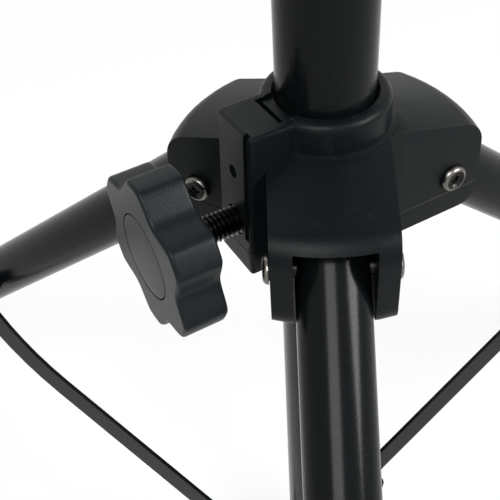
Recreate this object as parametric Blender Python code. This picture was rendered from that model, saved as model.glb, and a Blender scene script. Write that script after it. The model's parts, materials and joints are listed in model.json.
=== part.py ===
"""Orchestral music stand: folding tripod, sliding hub, telescopic mast and tilting desk.

Metres, +Z up, standing on z = 0.  The front leg points along -Y, and the desk faces -Y too.
The origin is the middle of the stand's footprint box, so the mast stands a little behind it.
"""
from math import asin, atan2, cos, hypot, pi, radians, sin, sqrt, tan

import bmesh
import bpy
from mathutils import Matrix, Vector

MM = 0.001

# Fits
GAP = 0.3 * MM                  # air between two pieces that touch
SLIDE_FIT = 0.3 * MM            # radial play of a piece that slides on a tube

# Tubes
MAIN_TUBE_D = 25.4 * MM
MAIN_TUBE_WALL = 1.2 * MM
MAIN_TUBE_LENGTH = 520.0 * MM
LEG_D = 19.05 * MM
LEG_WALL = 1.2 * MM
UPPER_TUBE_D = 19.05 * MM
UPPER_TUBE_WALL = 1.2 * MM
UPPER_TUBE_LENGTH = 500.0 * MM
UPPER_TUBE_OVERLAP = 250.0 * MM  # length inside the main tube as the stand is drawn

# Tripod linkage
LEG_ANGLE = radians(40.4)       # below the horizontal, legs spread
HUB_PIVOT_R = 31.0 * MM         # leg pivots, from the mast's axis
LINK_LENGTH = 146.0 * MM        # hub pivot to brace pivot along a leg, and the brace's length
LEG_TO_FOOT = 335.0 * MM        # hub pivot to the centre of the ball foot
LEG_TOP = 8.0 * MM              # tube that stands past the hub pivot
LEG_AZIMUTHS = {"front": 0.0, "right": radians(120.0), "left": radians(-120.0)}

# Feet
FOOT_R = 12.0 * MM
FOOT_FLAT = 1.0 * MM            # how much the ball is flattened by the floor
FOOT_SLEEVE = 20.0 * MM
FOOT_TUBE_INSET = 2.0 * MM      # tube end past the ball's centre

# Sliding hub
HUB_RING_R = 16.75 * MM
HUB_RING_TOP = 5.2 * MM         # above the point where the leg axes meet
HUB_RING_EDGE_R = 14.0 * MM
HUB_BOTTOM = -38.1 * MM
LUG_HALF_WIDTH = 15.5 * MM
LUG_CHEEK = 5.5 * MM
LUG_TOP = -3.5 * MM             # lug roof where it meets the ring
LUG_SLOPE = 0.33
LUG_END_R = 50.0 * MM           # plan radius of the lug's end
LUG_REACH = 42.5 * MM
LUG_END_FILLET = 8.0 * MM
LUG_CORNER = 5.0 * MM
LUG_SLOT_TOP = -13.6 * MM
LUG_SLOT_START = 17.5 * MM
LUG_ROOT = 6.0 * MM             # where a lug starts inside the collar
HUB_CREASE = 0.2 * MM           # how far the collar fills the corner between two lugs
HUB_RIM = 0.6 * MM              # the collar's mouth stands below the lugs
LUG_SLICES = 9

# Clamp blocks, pressure shoes and star knobs
CLAMP_HALF_WIDTH = 8.2 * MM
CLAMP_REACH = 26.5 * MM         # block face from the mast's axis, at its top
CLAMP_DRAFT = 1.8 * MM          # how far the block leans out towards its foot
CLAMP_EDGE = 1.0 * MM
SHOE_HALF_WIDTH = 5.4 * MM
SHOE_SIDE_PLAY = 0.5 * MM
SHOE_THICKNESS = 2.4 * MM
SHOE_TRAVEL = 1.7 * MM
BASE_CLAMP_AZIMUTH = radians(-60.0)
BASE_STUD_Z = -24.5 * MM        # below the point where the leg axes meet
HEIGHT_CLAMP_AZIMUTH = radians(180.0)
STUD_D = 7.9 * MM
STUD_LENGTH = 34.8 * MM
INSERT_D = 11.0 * MM
INSERT_LENGTH = 8.6 * MM
KNOB_R = 22.5 * MM
KNOB_WAIST_R = 18.4 * MM
KNOB_LOBES = 6
KNOB_CREST = 1.2                # above 1, it flattens the lobes
KNOB_PHASE = radians(31.0)      # turn of the first lobe in the photograph's pose
KNOB_HEIGHT = 12.3 * MM
KNOB_STANDOFF = 26.1 * MM       # from the stud's tip to the knob's back
KNOB_EDGE = 1.0 * MM
KNOB_CAP_R = 11.4 * MM
KNOB_CAP_DEPTH = 1.2 * MM

# Pivot bolts of the legs
BOLT_HEAD_R = 3.9 * MM
BOLT_HEAD_HEIGHT = 1.6 * MM
BOLT_SOCKET = 2.5 * MM          # across the flats
BOLT_SOCKET_DEPTH = 1.1 * MM
BOLT_SHANK_R = 2.0 * MM
BARREL_R = 3.0 * MM
BARREL_BORE_R = 2.3 * MM

# Braces
BRACE_WIDTH = 11.0 * MM
BRACE_THICKNESS = 1.5 * MM
BRACE_SIDE_IN = 14.2 * MM       # sideways from the leg's plane, at the lower hub
BRACE_SIDE_OUT = 16.7 * MM      # and at the leg
BRACE_LINE_RISE = 5.6 * MM      # straight run's height over the pivot line, at the lower hub
BRACE_LINE_SLOPE = -0.136
BRACE_BEND_IN = 16.0 * MM
BRACE_BEND_OUT = 88.0 * MM
RIVET_R = 2.5 * MM
RIVET_HEAD_R = 4.6 * MM
RIVET_HEAD_HEIGHT = 1.6 * MM
SPACER_R = 4.6 * MM

# Lower hub
LOWER_HUB_R = 16.75 * MM
LOWER_HUB_HEIGHT = 22.0 * MM
EAR_THICKNESS = 2.9 * MM
EAR_R = 7.5 * MM
TUBE_TAIL = 14.0 * MM           # tube below the brace pivots
PLUG_DEPTH = 14.0 * MM
PLUG_FLANGE = 3.0 * MM
LOCK_SCREW_R = 2.5 * MM

# Height clamp
HEIGHT_CLAMP_R = 17.0 * MM
HEIGHT_CLAMP_BELOW = 30.0 * MM
HEIGHT_CLAMP_ABOVE = 31.0 * MM
HEIGHT_CLAMP_HALF_WIDTH = 7.7 * MM
HEIGHT_CLAMP_REACH = 24.5 * MM
HEIGHT_STUD_Z = 16.0 * MM       # above the main tube's end
BUSH_LENGTH = 22.0 * MM
BUSH_LIP = 2.0 * MM

# Tilting head
HEAD_SOCKET_R = 13.0 * MM
HEAD_SOCKET_DEPTH = 32.0 * MM
HEAD_SHOULDER = 5.0 * MM
TILT_RISE = 25.0 * MM           # tilt axis above the upper tube's end
TONGUE_HALF = 5.0 * MM
TONGUE_R = 11.0 * MM
EAR_PLATE = 2.0 * MM
BRACKET_EAR_R = 11.0 * MM
BRACKET_HALF_WIDTH = 33.0 * MM
BRACKET_HALF_HEIGHT = 38.0 * MM
TILT_BOLT_R = 3.0 * MM
TILT_BOLT_LENGTH = 22.0 * MM
WASHER_R = 8.0 * MM
WASHER_THICKNESS = 1.6 * MM
TILT_KNOB_SCALE = 0.8

# Desk
DESK_TILT = radians(20.0)       # back from upright, as drawn
DESK_OFFSET = 22.0 * MM         # bracket's front face, in front of the tilt axis
DESK_WIDTH = 480.0 * MM
DESK_HEIGHT = 330.0 * MM
DESK_SHEET = 1.2 * MM
DESK_RIM = 8.0 * MM
DESK_CORNER = 24.0 * MM
DESK_HOLE_R = 8.0 * MM
DESK_HOLE_PITCH_X = 44.0 * MM
DESK_HOLE_PITCH_Z = 66.0 * MM
DESK_HOLE_COLUMNS = 9
DESK_HOLE_ROWS = 4
LEDGE_DEPTH = 55.0 * MM
LEDGE_BACK = 16.0 * MM
LEDGE_LIP = 10.0 * MM
LEDGE_SIDE_INSET = 6.0 * MM
DESK_RIVET_R = 2.4 * MM
DESK_RIVET_HEAD_R = 4.4 * MM
DESK_RIVET_HEAD = 1.4 * MM

# Sides of the round pieces
SIDES_LARGE = 32                # tubes and collars
SIDES_MEDIUM = 24               # fittings
SIDES_BOLT = 16
SIDES_SMALL = 12                # rivets and holes

# Places that follow from the sizes above
FOOT_REACH = HUB_PIVOT_R + LEG_TO_FOOT * cos(LEG_ANGLE)
HUB_PIVOT_Z = LEG_TO_FOOT * sin(LEG_ANGLE) + FOOT_R - FOOT_FLAT
HUB_Z = HUB_PIVOT_Z + HUB_PIVOT_R * tan(LEG_ANGLE)
BRACE_PIVOT_R = HUB_PIVOT_R + LINK_LENGTH * cos(LEG_ANGLE)
BRACE_PIVOT_Z = HUB_PIVOT_Z - LINK_LENGTH * sin(LEG_ANGLE)
LOWER_PIVOT_Z = HUB_PIVOT_Z - 2 * LINK_LENGTH * sin(LEG_ANGLE)
TUBE_BOTTOM = LOWER_PIVOT_Z - TUBE_TAIL
TUBE_TOP = TUBE_BOTTOM + MAIN_TUBE_LENGTH
UPPER_BOTTOM = TUBE_TOP - UPPER_TUBE_OVERLAP
UPPER_TOP = UPPER_BOTTOM + UPPER_TUBE_LENGTH
TILT_Z = UPPER_TOP + TILT_RISE
MAIN_BORE_R = MAIN_TUBE_D / 2 - MAIN_TUBE_WALL
BACK_REACH = FOOT_REACH * cos(pi / 3) + FOOT_R
AXIS_Y = (FOOT_REACH + FOOT_R - BACK_REACH) / 2
LUG_INNER = LUG_HALF_WIDTH - LUG_CHEEK


# Materials

def finish(name, colour, roughness, metallic=0.0):
    """One Principled material for a sub-part."""
    material = bpy.data.materials.get(name)
    if material is None:
        material = bpy.data.materials.new(name)
        material.use_nodes = True
        shader = material.node_tree.nodes["Principled BSDF"]
        shader.inputs["Base Color"].default_value = (*colour, 1.0)
        shader.inputs["Roughness"].default_value = roughness
        shader.inputs["Metallic"].default_value = metallic
    return material


def black_coat():
    return finish("black_powder_coat", (0.018, 0.020, 0.021), 0.42)


def black_nylon():
    return finish("black_nylon", (0.020, 0.023, 0.025), 0.62)


def black_rubber():
    return finish("black_rubber", (0.015, 0.015, 0.015), 0.85)


def dark_nickel():
    return finish("dark_nickel", (0.28, 0.25, 0.22), 0.32, 1.0)


def zinc():
    return finish("zinc_plate", (0.55, 0.55, 0.53), 0.38, 1.0)


# Solids

def blank(bm, matrix=None):
    """A working object made from a bmesh, placed by a matrix."""
    if matrix is not None:
        bmesh.ops.transform(bm, matrix=matrix, verts=bm.verts)
    bmesh.ops.recalc_face_normals(bm, faces=bm.faces)
    mesh = bpy.data.meshes.new("blank")
    bm.to_mesh(mesh)
    bm.free()
    body = bpy.data.objects.new("blank", mesh)
    bpy.context.collection.objects.link(body)
    return body


def bake(body):
    """Apply the modifiers of a working object."""
    bpy.context.view_layer.update()
    graph = bpy.context.evaluated_depsgraph_get()
    mesh = bpy.data.meshes.new_from_object(body.evaluated_get(graph))
    body.modifiers.clear()
    old = body.data
    body.data = mesh
    bpy.data.meshes.remove(old)


def weld(body, reach=0.01 * MM):
    """Merge the points that a Boolean leaves on top of each other."""
    bm = bmesh.new()
    bm.from_mesh(body.data)
    bmesh.ops.remove_doubles(bm, verts=bm.verts, dist=reach)
    bmesh.ops.dissolve_degenerate(bm, edges=bm.edges, dist=reach / 2)
    bm.to_mesh(body.data)
    bm.free()


def combine(body, tools, operation):
    """Boolean a list of working objects with a body, and remove them."""
    for tool in tools:
        modifier = body.modifiers.new(operation.title(), "BOOLEAN")
        modifier.operation = operation
        modifier.solver = "EXACT"
        modifier.object = tool
        bake(body)
        weld(body)
        bpy.data.objects.remove(tool)
    return body


def cut(body, *tools):
    return combine(body, tools, "DIFFERENCE")


def join(body, *tools):
    return combine(body, tools, "UNION")


def bevelled(body, width, segments=2, angle=radians(50)):
    """Round the sharp edges of a working object."""
    modifier = body.modifiers.new("Bevel", "BEVEL")
    modifier.width = width
    modifier.segments = segments
    modifier.limit_method = "ANGLE"
    modifier.angle_limit = angle
    bake(body)
    return body


def piece(name, body, material, parent, matrix=None):
    """Turn a working object into the finished sub-part on its parent empty."""
    body.name = name
    body.data.name = name
    body.data.materials.clear()
    body.data.materials.append(material)
    body.data.shade_smooth()
    body.data.set_sharp_from_angle(angle=radians(32))
    body.parent = parent
    if matrix is not None:
        body.matrix_local = matrix
    return body


def prism(outline, start, stop, matrix=None):
    """An outline in X and Y, extruded from z = start to z = stop."""
    bm = bmesh.new()
    low = [bm.verts.new((x, y, start)) for x, y in outline]
    high = [bm.verts.new((x, y, stop)) for x, y in outline]
    bm.faces.new(low)
    bm.faces.new(high)
    for i in range(len(low)):
        j = (i + 1) % len(low)
        bm.faces.new((low[i], low[j], high[j], high[i]))
    return blank(bm, matrix)


def loft(rings, matrix=None):
    """A closed solid through rings that have the same number of points."""
    bm = bmesh.new()
    loops = [[bm.verts.new(point) for point in ring] for ring in rings]
    bm.faces.new(loops[0])
    bm.faces.new(loops[-1])
    for first, second in zip(loops, loops[1:]):
        for i in range(len(first)):
            j = (i + 1) % len(first)
            bm.faces.new((first[i], first[j], second[j], second[i]))
    return blank(bm, matrix)


def turned(profile, sides, matrix=None):
    """A closed (radius, height) profile spun round Z."""
    bm = bmesh.new()
    verts = [bm.verts.new((radius, 0.0, height)) for radius, height in profile]
    edges = [bm.edges.new(pair) for pair in zip(verts, verts[1:])]
    if max(profile[0][0], profile[-1][0]) > 0.001 * MM:
        edges.append(bm.edges.new((verts[-1], verts[0])))
    bmesh.ops.spin(bm, geom=verts + edges, axis=(0, 0, 1), cent=(0, 0, 0),
                   angle=2 * pi, steps=sides, use_merge=False)
    bmesh.ops.remove_doubles(bm, verts=bm.verts, dist=0.00001)
    bmesh.ops.dissolve_degenerate(bm, edges=bm.edges, dist=0.000005)
    return blank(bm, matrix)


def rod(radius, start, stop, sides=SIDES_SMALL, matrix=None):
    """A plain cylinder along Z."""
    outline = [polar(radius, 2 * pi * i / sides) for i in range(sides)]
    return prism(outline, start, stop, matrix)


def pipe(outer, inner, start, stop, sides):
    """A straight tube along Z."""
    return turned([(outer, start), (outer, stop), (inner, stop), (inner, start)], sides)


def box(low, high):
    (x0, y0, z0), (x1, y1, z1) = low, high
    return prism([(x0, y0), (x1, y0), (x1, y1), (x0, y1)], z0, z1)


# Outlines

def polar(radius, angle, centre=(0.0, 0.0)):
    return centre[0] + radius * cos(angle), centre[1] + radius * sin(angle)


def arc(centre, radius, start, stop, steps):
    """Points of an arc, both ends included."""
    return [polar(radius, start + (stop - start) * i / steps, centre) for i in range(steps + 1)]


def stadium(length, radius, steps=8):
    """A bar outline with round ends, from the origin along +X."""
    return arc((length, 0), radius, -pi / 2, pi / 2, steps) + arc((0, 0), radius, pi / 2, 1.5 * pi, steps)


# Places

def empty(name, parent, location=(0, 0, 0), rotation=(0, 0, 0)):
    guide = bpy.data.objects.new(name, None)
    guide.empty_display_size = 0.02
    bpy.context.collection.objects.link(guide)
    guide.parent = parent
    guide.location = location
    guide.rotation_euler = rotation
    return guide


ALONG_X = Matrix.Rotation(pi / 2, 4, "Y")                                # Z to +X
OUTWARD = Matrix.Rotation(pi / 2, 4, "X")                                # Z to -Y
SIDE_VIEW = Matrix(((0, 0, 1, 0), (-1, 0, 0, 0), (0, 1, 0, 0), (0, 0, 0, 1)))  # (r, z, t)


# Tubes of the stem

def main_tube(stem):
    body = pipe(MAIN_TUBE_D / 2, MAIN_BORE_R, TUBE_BOTTOM, TUBE_TOP, SIDES_LARGE)
    piece("main_tube", body, black_coat(), stem)


def tube_plug(stem):
    edge = 0.8 * MM
    bottom = TUBE_BOTTOM - GAP - PLUG_FLANGE
    seat = TUBE_BOTTOM - GAP
    radius = MAIN_TUBE_D / 2
    stem_r = MAIN_BORE_R - GAP
    profile = [(0, bottom), (radius - edge, bottom), (radius, bottom + edge), (radius, seat),
               (stem_r, seat), (stem_r, seat + PLUG_DEPTH - edge), (stem_r - edge, seat + PLUG_DEPTH),
               (0, seat + PLUG_DEPTH)]
    piece("tube_plug", turned(profile, SIDES_MEDIUM), black_nylon(), stem)


def upper_tube(mast):
    body = pipe(UPPER_TUBE_D / 2, UPPER_TUBE_D / 2 - UPPER_TUBE_WALL, UPPER_BOTTOM, UPPER_TOP, SIDES_LARGE)
    piece("upper_tube", body, black_coat(), mast)


def slide_bush(carriage):
    """Nylon cup that centres the foot of the upper tube in the main tube."""
    outer = MAIN_BORE_R - SLIDE_FIT
    inner = UPPER_TUBE_D / 2 + GAP
    floor = UPPER_BOTTOM - GAP
    hole = UPPER_TUBE_D / 2 - 2 * UPPER_TUBE_WALL
    profile = [(hole, floor - BUSH_LIP), (outer, floor - BUSH_LIP), (outer, floor + BUSH_LENGTH),
               (inner, floor + BUSH_LENGTH), (inner, floor), (hole, floor)]
    piece("slide_bush", turned(profile, SIDES_MEDIUM), black_nylon(), carriage)


# Sliding hub

def lug_roof(reach, side):
    """Height of the lug's roof, a shallow cone round the tube."""
    return LUG_TOP - LUG_SLOPE * (hypot(reach, side) - HUB_RING_R)


def lug_end(side):
    """Reach of the lug's rounded end at a place across its width."""
    return LUG_REACH - LUG_END_R + sqrt(LUG_END_R ** 2 - side ** 2)


def lug_section(side, steps=7):
    """The lug's outline in reach and height, cut at one place across its width."""
    end = lug_end(side)
    lean = atan2(LUG_SLOPE, 1.0)
    reach = end - LUG_END_FILLET
    centre = (reach, lug_roof(reach, side) - LUG_END_FILLET / cos(lean))
    corner = (end - LUG_CORNER, HUB_BOTTOM + LUG_CORNER)
    points = [(LUG_ROOT, HUB_BOTTOM), (LUG_ROOT, lug_roof(LUG_ROOT, side))]
    points.append((HUB_RING_R, lug_roof(HUB_RING_R, side)))
    points += arc(centre, LUG_END_FILLET, pi / 2 - lean, 0.0, steps)
    points += arc(corner, LUG_CORNER, 0.0, -pi / 2, 4)
    return points


def lug():
    """One fork of the hub, solid, pointing to the front."""
    rings = []
    for i in range(LUG_SLICES):
        side = LUG_HALF_WIDTH * (2 * i / (LUG_SLICES - 1) - 1)
        rings.append([(side, -reach, height) for reach, height in lug_section(side)])
    return loft(rings)


def lug_slot():
    """The room for a leg between the fork's cheeks, open below and at the end."""
    far = LUG_REACH + 5 * MM
    low = (-LUG_INNER, -far, HUB_BOTTOM - MM)
    return box(low, (LUG_INNER, -LUG_SLOT_START, LUG_SLOT_TOP))


def clamp_block(bottom, top, foot_lean):
    """Upright block for a clamping stud, pointing to the front."""
    half = CLAMP_HALF_WIDTH
    rings = []
    for height, reach in ((bottom, CLAMP_REACH + foot_lean), (top, CLAMP_REACH)):
        rings.append([(-half, -MAIN_TUBE_D / 2, height), (half, -MAIN_TUBE_D / 2, height),
                      (half, -reach, height), (-half, -reach, height)])
    return bevelled(loft(rings), CLAMP_EDGE)


def shoe_recess(inner, outer, bottom, top):
    half = SHOE_HALF_WIDTH + SHOE_SIDE_PLAY
    return box((-half, -outer, bottom), (half, -inner, top))


def turn(body, azimuth):
    body.data.transform(Matrix.Rotation(azimuth, 4, "Z"))
    return body


def lift(body, height):
    body.data.transform(Matrix.Translation((0, 0, height)))
    return body


def hub_collar():
    edge = HUB_RING_R - HUB_RING_EDGE_R
    rounding = arc((HUB_RING_R - edge * 0.8, HUB_RING_TOP - edge * 0.75), edge * 0.8, 0.0, pi / 2, 4)
    bottom = HUB_BOTTOM - HUB_RIM
    crease = LUG_HALF_WIDTH / sin(pi / 3) + HUB_CREASE
    skirt = lug_roof(crease, 0) + HUB_CREASE
    profile = [(0, bottom), (crease - HUB_RIM, bottom), (crease, HUB_BOTTOM), (crease, skirt),
               (HUB_RING_R, lug_roof(HUB_RING_R, 0) + 2 * HUB_CREASE), *rounding, (0, HUB_RING_TOP)]
    return turned(profile, SIDES_LARGE)


def tube_bore(radius, bottom, top, chamfer):
    """Cutter for a bore with a chamfered mouth at its top."""
    profile = [(0, bottom), (radius, bottom), (radius, top - chamfer), (radius + 2 * chamfer, top + chamfer),
               (0, top + chamfer)]
    return turned(profile, SIDES_LARGE)


def stud_bores(seat, face, height):
    """Cutters for a threaded insert and for the stud in front of it."""
    sides = SIDES_MEDIUM
    insert = rod(INSERT_D / 2 + GAP, seat - MM, seat + INSERT_LENGTH + 2 * GAP, sides, OUTWARD)
    clearance = rod(STUD_D / 2 + GAP, seat, face, sides, OUTWARD)
    return lift(insert, height), lift(clearance, height)


def tripod_hub(parent):
    body = hub_collar()
    block = clamp_block(HUB_BOTTOM - HUB_RIM / 2, HUB_RING_TOP - 0.3 * MM, CLAMP_DRAFT)
    join(body, turn(block, BASE_CLAMP_AZIMUTH))
    for azimuth in LEG_AZIMUTHS.values():
        join(body, turn(lug(), azimuth))
    bore_r = MAIN_TUBE_D / 2 + SLIDE_FIT
    cut(body, tube_bore(bore_r, HUB_BOTTOM - MM, HUB_RING_TOP, 0.5 * MM))
    shoe_back = MAIN_TUBE_D / 2 + GAP + SHOE_THICKNESS
    seat = shoe_back + SHOE_TRAVEL
    recess = shoe_recess(MAIN_TUBE_D / 4, seat, HUB_BOTTOM - MM, HUB_RING_TOP + MM)
    cut(body, turn(recess, BASE_CLAMP_AZIMUTH))
    for bore in stud_bores(seat, CLAMP_REACH + 5 * MM, BASE_STUD_Z):
        cut(body, turn(bore, BASE_CLAMP_AZIMUTH))
    for azimuth in LEG_AZIMUTHS.values():
        cut(body, turn(lug_slot(), azimuth))
        pivot = rod(BARREL_R + GAP, -LUG_HALF_WIDTH - MM, LUG_HALF_WIDTH + MM, SIDES_SMALL, ALONG_X)
        pivot.data.transform(Matrix.Translation((0, -HUB_PIVOT_R, HUB_PIVOT_Z - HUB_Z)))
        cut(body, turn(pivot, azimuth))
    place = Matrix.Translation(Vector((0, HUB_PIVOT_R, HUB_Z - HUB_PIVOT_Z)))
    piece("tripod_hub", body, black_nylon(), parent, place)


# Clamping sets

def pressure_shoe(name, tube_d, bottom, top, parent):
    """Nylon pad with a hollow face that the stud presses on a tube."""
    inner = tube_d / 2 + GAP
    body = box((-SHOE_HALF_WIDTH, -inner - SHOE_THICKNESS, bottom), (SHOE_HALF_WIDTH, -inner / 2, top))
    cut(body, rod(inner, bottom - MM, top + MM, SIDES_LARGE))
    return piece(name, body, black_nylon(), parent)


def knob_outline(radius_out, radius_in, steps=8):
    """Six lobes, broad and even at their crests, with a smooth waist between."""
    points = []
    count = KNOB_LOBES * steps
    for i in range(count):
        angle = 2 * pi * i / count
        swell = min(1.0, KNOB_CREST * (0.5 + 0.5 * cos(KNOB_LOBES * angle)))
        points.append(polar(radius_in + (radius_out - radius_in) * swell, angle + KNOB_PHASE))
    return points


def star_knob(prefix, parent, scale, bore_d):
    """Star grip with a blind bore and a recessed cap; it starts at z = 0 and faces +Z."""
    height = KNOB_HEIGHT * scale
    edge = KNOB_EDGE * scale
    levels = ((0.0, -edge), (edge, 0.0), (height - edge, 0.0), (height, -edge))
    rings = []
    for level, inset in levels:
        outline = knob_outline(KNOB_R * scale + inset, KNOB_WAIST_R * scale + inset)
        rings.append([(x, y, level) for x, y in outline])
    body = loft(rings)
    cap_r = KNOB_CAP_R * scale
    depth = KNOB_CAP_DEPTH * scale
    cut(body, rod(cap_r + GAP, height - depth, height + MM, SIDES_MEDIUM))
    cut(body, rod(bore_d / 2 + GAP, -MM, height - 2 * depth, SIDES_SMALL))
    piece(prefix + "_knob", body, black_nylon(), parent)
    seat = height - depth + GAP
    crown = height + 0.3 * MM
    profile = [(0, seat), (cap_r, seat), (cap_r, height - 0.3 * MM)]
    profile += [(cap_r * 0.7, height + 0.1 * MM), (0, crown)]
    piece(prefix + "_knob_cap", turned(profile, SIDES_MEDIUM), black_nylon(), parent)


def clamping_set(prefix, tube_d, shoe_bottom, shoe_top, carrier, height, azimuth):
    """Shoe, insert, stud and knob of one clamp, pressing on a tube of the given size."""
    side = empty(prefix + "_clamp_axis", carrier, (0, 0, height), (0, 0, azimuth))
    pressure_shoe(prefix + "_shoe", tube_d, shoe_bottom - height, shoe_top - height, side)
    shoe_back = tube_d / 2 + GAP + SHOE_THICKNESS
    seat = shoe_back + SHOE_TRAVEL
    sleeve = [(STUD_D / 2 + GAP / 2, seat + GAP), (INSERT_D / 2, seat + GAP),
              (INSERT_D / 2, seat + GAP + INSERT_LENGTH), (STUD_D / 2 + GAP / 2, seat + GAP + INSERT_LENGTH)]
    piece(prefix + "_insert", turned(sleeve, SIDES_MEDIUM, OUTWARD), zinc(), side)
    tip = shoe_back + GAP
    turning = empty(prefix + "_knob_axis", side, (0, -tip, 0), (pi / 2, 0, 0))
    stud_profile = [(0, 0), (STUD_D / 2 - 0.8 * MM, 0), (STUD_D / 2, 0.8 * MM), (STUD_D / 2, STUD_LENGTH),
                    (0, STUD_LENGTH)]
    piece(prefix + "_stud", turned(stud_profile, SIDES_MEDIUM), dark_nickel(), turning)
    grip = empty(prefix + "_grip", turning, (0, 0, KNOB_STANDOFF))
    star_knob(prefix, grip, 1.0, STUD_D)


# Legs, feet and their bolts

def leg_tube(name, parent):
    end = LEG_TO_FOOT + FOOT_TUBE_INSET
    body = pipe(LEG_D / 2, LEG_D / 2 - LEG_WALL, -end, LEG_TOP, SIDES_LARGE)
    cut(body, rod(BARREL_R + GAP, -LEG_D, LEG_D, SIDES_SMALL, ALONG_X))
    rivet_hole = rod(RIVET_R + GAP, -LEG_D, LEG_D, SIDES_SMALL, ALONG_X)
    cut(body, lift(rivet_hole, -LINK_LENGTH))
    piece(name, body, black_coat(), parent)


def foot(name, parent):
    """Rubber boot: a sleeve on the tube and a ball flattened where it stands."""
    end = LEG_TO_FOOT + FOOT_TUBE_INSET
    bore = LEG_D / 2 + GAP
    mouth = -LEG_TO_FOOT + FOOT_SLEEVE
    ball = arc((0, -LEG_TO_FOOT), FOOT_R, -pi / 2, 0.0, 6)
    profile = [*ball, (FOOT_R, mouth - MM), (FOOT_R - MM, mouth)]
    profile += [(bore, mouth), (bore, -end - GAP), (0, -end - GAP)]
    body = turned(profile, SIDES_MEDIUM)
    bm = bmesh.new()
    bm.from_mesh(body.data)
    down = Vector((0, cos(LEG_ANGLE), -sin(LEG_ANGLE)))
    floor = Vector((0, 0, -LEG_TO_FOOT)) + down * (FOOT_R - FOOT_FLAT)
    flat = bmesh.ops.bisect_plane(bm, geom=bm.verts[:] + bm.edges[:] + bm.faces[:], plane_co=floor,
                                  plane_no=down, clear_outer=True)
    rim = [item for item in flat["geom_cut"] if isinstance(item, bmesh.types.BMEdge)]
    bmesh.ops.contextual_create(bm, geom=rim)
    bm.to_mesh(body.data)
    bm.free()
    piece(name, body, black_rubber(), parent)


def button_head(radius, height, seat, direction):
    """Half profile of a domed head that sits at x = seat."""
    points = [(0, seat), (radius, seat), (radius, seat + direction * height * 0.3)]
    points += [(radius * 0.86, seat + direction * height * 0.75), (radius * 0.6, seat + direction * height)]
    points.append((0, seat + direction * height))
    return points


def hex_cutter(across, start, stop):
    outline = [polar(across / sqrt(3), pi / 3 * i) for i in range(6)]
    return prism(outline, start, stop, ALONG_X)


def pivot_bolt(name, parent):
    """Button-head bolt from the leg's right side."""
    seat = LUG_HALF_WIDTH + GAP
    tip = -LUG_HALF_WIDTH / 2
    profile = [(0, tip), (BOLT_SHANK_R, tip), (BOLT_SHANK_R, seat)] + button_head(
        BOLT_HEAD_R, BOLT_HEAD_HEIGHT, seat, 1)[1:]
    body = turned(profile, SIDES_BOLT, ALONG_X)
    top = seat + BOLT_HEAD_HEIGHT
    cut(body, hex_cutter(BOLT_SOCKET, top - BOLT_SOCKET_DEPTH, top + MM))
    piece(name, body, dark_nickel(), parent)


def pivot_barrel(name, parent):
    """Barrel nut from the leg's left side, the axle that the leg turns on."""
    seat = -LUG_HALF_WIDTH - GAP
    mouth = LUG_HALF_WIDTH - 1.0 * MM
    head = button_head(BOLT_HEAD_R, BOLT_HEAD_HEIGHT, seat, -1)[1:]
    floor = seat + MM
    profile = [(0, floor), (BARREL_BORE_R, floor), (BARREL_BORE_R, mouth)]
    profile += [(BARREL_R, mouth), (BARREL_R, seat)]
    body = turned(profile + head, SIDES_BOLT, ALONG_X)
    top = seat - BOLT_HEAD_HEIGHT
    cut(body, hex_cutter(BOLT_SOCKET, top - MM, top + BOLT_SOCKET_DEPTH))
    piece(name, body, dark_nickel(), parent)


# Braces

def brace_path():
    """Middle line of a brace in its own plane: bend, straight run, wide bend."""
    lean = atan2(BRACE_LINE_SLOPE, 1.0)
    along = Vector((cos(lean), sin(lean)))
    normal = Vector((-sin(lean), cos(lean)))
    base = Vector((0.0, BRACE_LINE_RISE))

    def tangent_arc(end, radius, side, sense, steps):
        """Arc from a pivot to the straight run, tangent to it."""
        offset = base + normal * side * radius
        local = end - offset
        run = local.dot(along)
        depth = local.dot(normal)
        touch = run - sense * sqrt(radius ** 2 - depth ** 2)
        centre = offset + along * touch
        first = atan2(end.y - centre.y, end.x - centre.x)
        last = atan2(-side * normal.y, -side * normal.x)
        sweep = (last - first + pi) % (2 * pi) - pi
        return arc(centre, radius, first, first + sweep, steps)

    inner = tangent_arc(Vector((0, 0)), BRACE_BEND_IN, -1, -1, 6)
    outer = tangent_arc(Vector((LINK_LENGTH, 0)), BRACE_BEND_OUT, 1, 1, 6)
    return [Vector(point) for point in inner + outer[::-1]]


def brace_outline():
    """Both long edges of the bar with a round end at each pivot."""
    path = brace_path()
    half = BRACE_WIDTH / 2
    left, right = [], []
    for i, point in enumerate(path):
        before = path[max(i - 1, 0)]
        after = path[min(i + 1, len(path) - 1)]
        run = (after - before).normalized()
        side = Vector((-run.y, run.x)) * half
        left.append(point + side)
        right.append(point - side)
    start = path[1] - path[0]
    stop = path[-1] - path[-2]
    first = atan2(start.y, start.x)
    last = atan2(stop.y, stop.x)
    tail = arc(path[0], half, first + pi / 2, first + 1.5 * pi, 8)[1:-1]
    nose = arc(path[-1], half, last - pi / 2, last + pi / 2, 8)[1:-1]
    return [tuple(p) for p in right] + nose + [tuple(p) for p in left[::-1]] + tail


def brace(name, parent):
    """Flat steel bar on edge, drawn from the lower pivot towards the leg."""
    half = BRACE_THICKNESS / 2
    body = prism(brace_outline(), -half, half)
    holes = [rod(RIVET_R + GAP, -BRACE_WIDTH, BRACE_WIDTH) for _ in range(2)]
    holes[1].data.transform(Matrix.Translation((LINK_LENGTH, 0, 0)))
    cut(body, *holes)
    flare = (BRACE_SIDE_OUT - BRACE_SIDE_IN) / LINK_LENGTH
    for vertex in body.data.vertices:
        vertex.co.z += BRACE_SIDE_IN + flare * min(max(vertex.co.x, 0.0), LINK_LENGTH)
    body.data.transform(SIDE_VIEW @ Matrix.Rotation(LEG_ANGLE, 4, "Z"))
    body.data.flip_normals()
    piece(name, body, black_coat(), parent)


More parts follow.
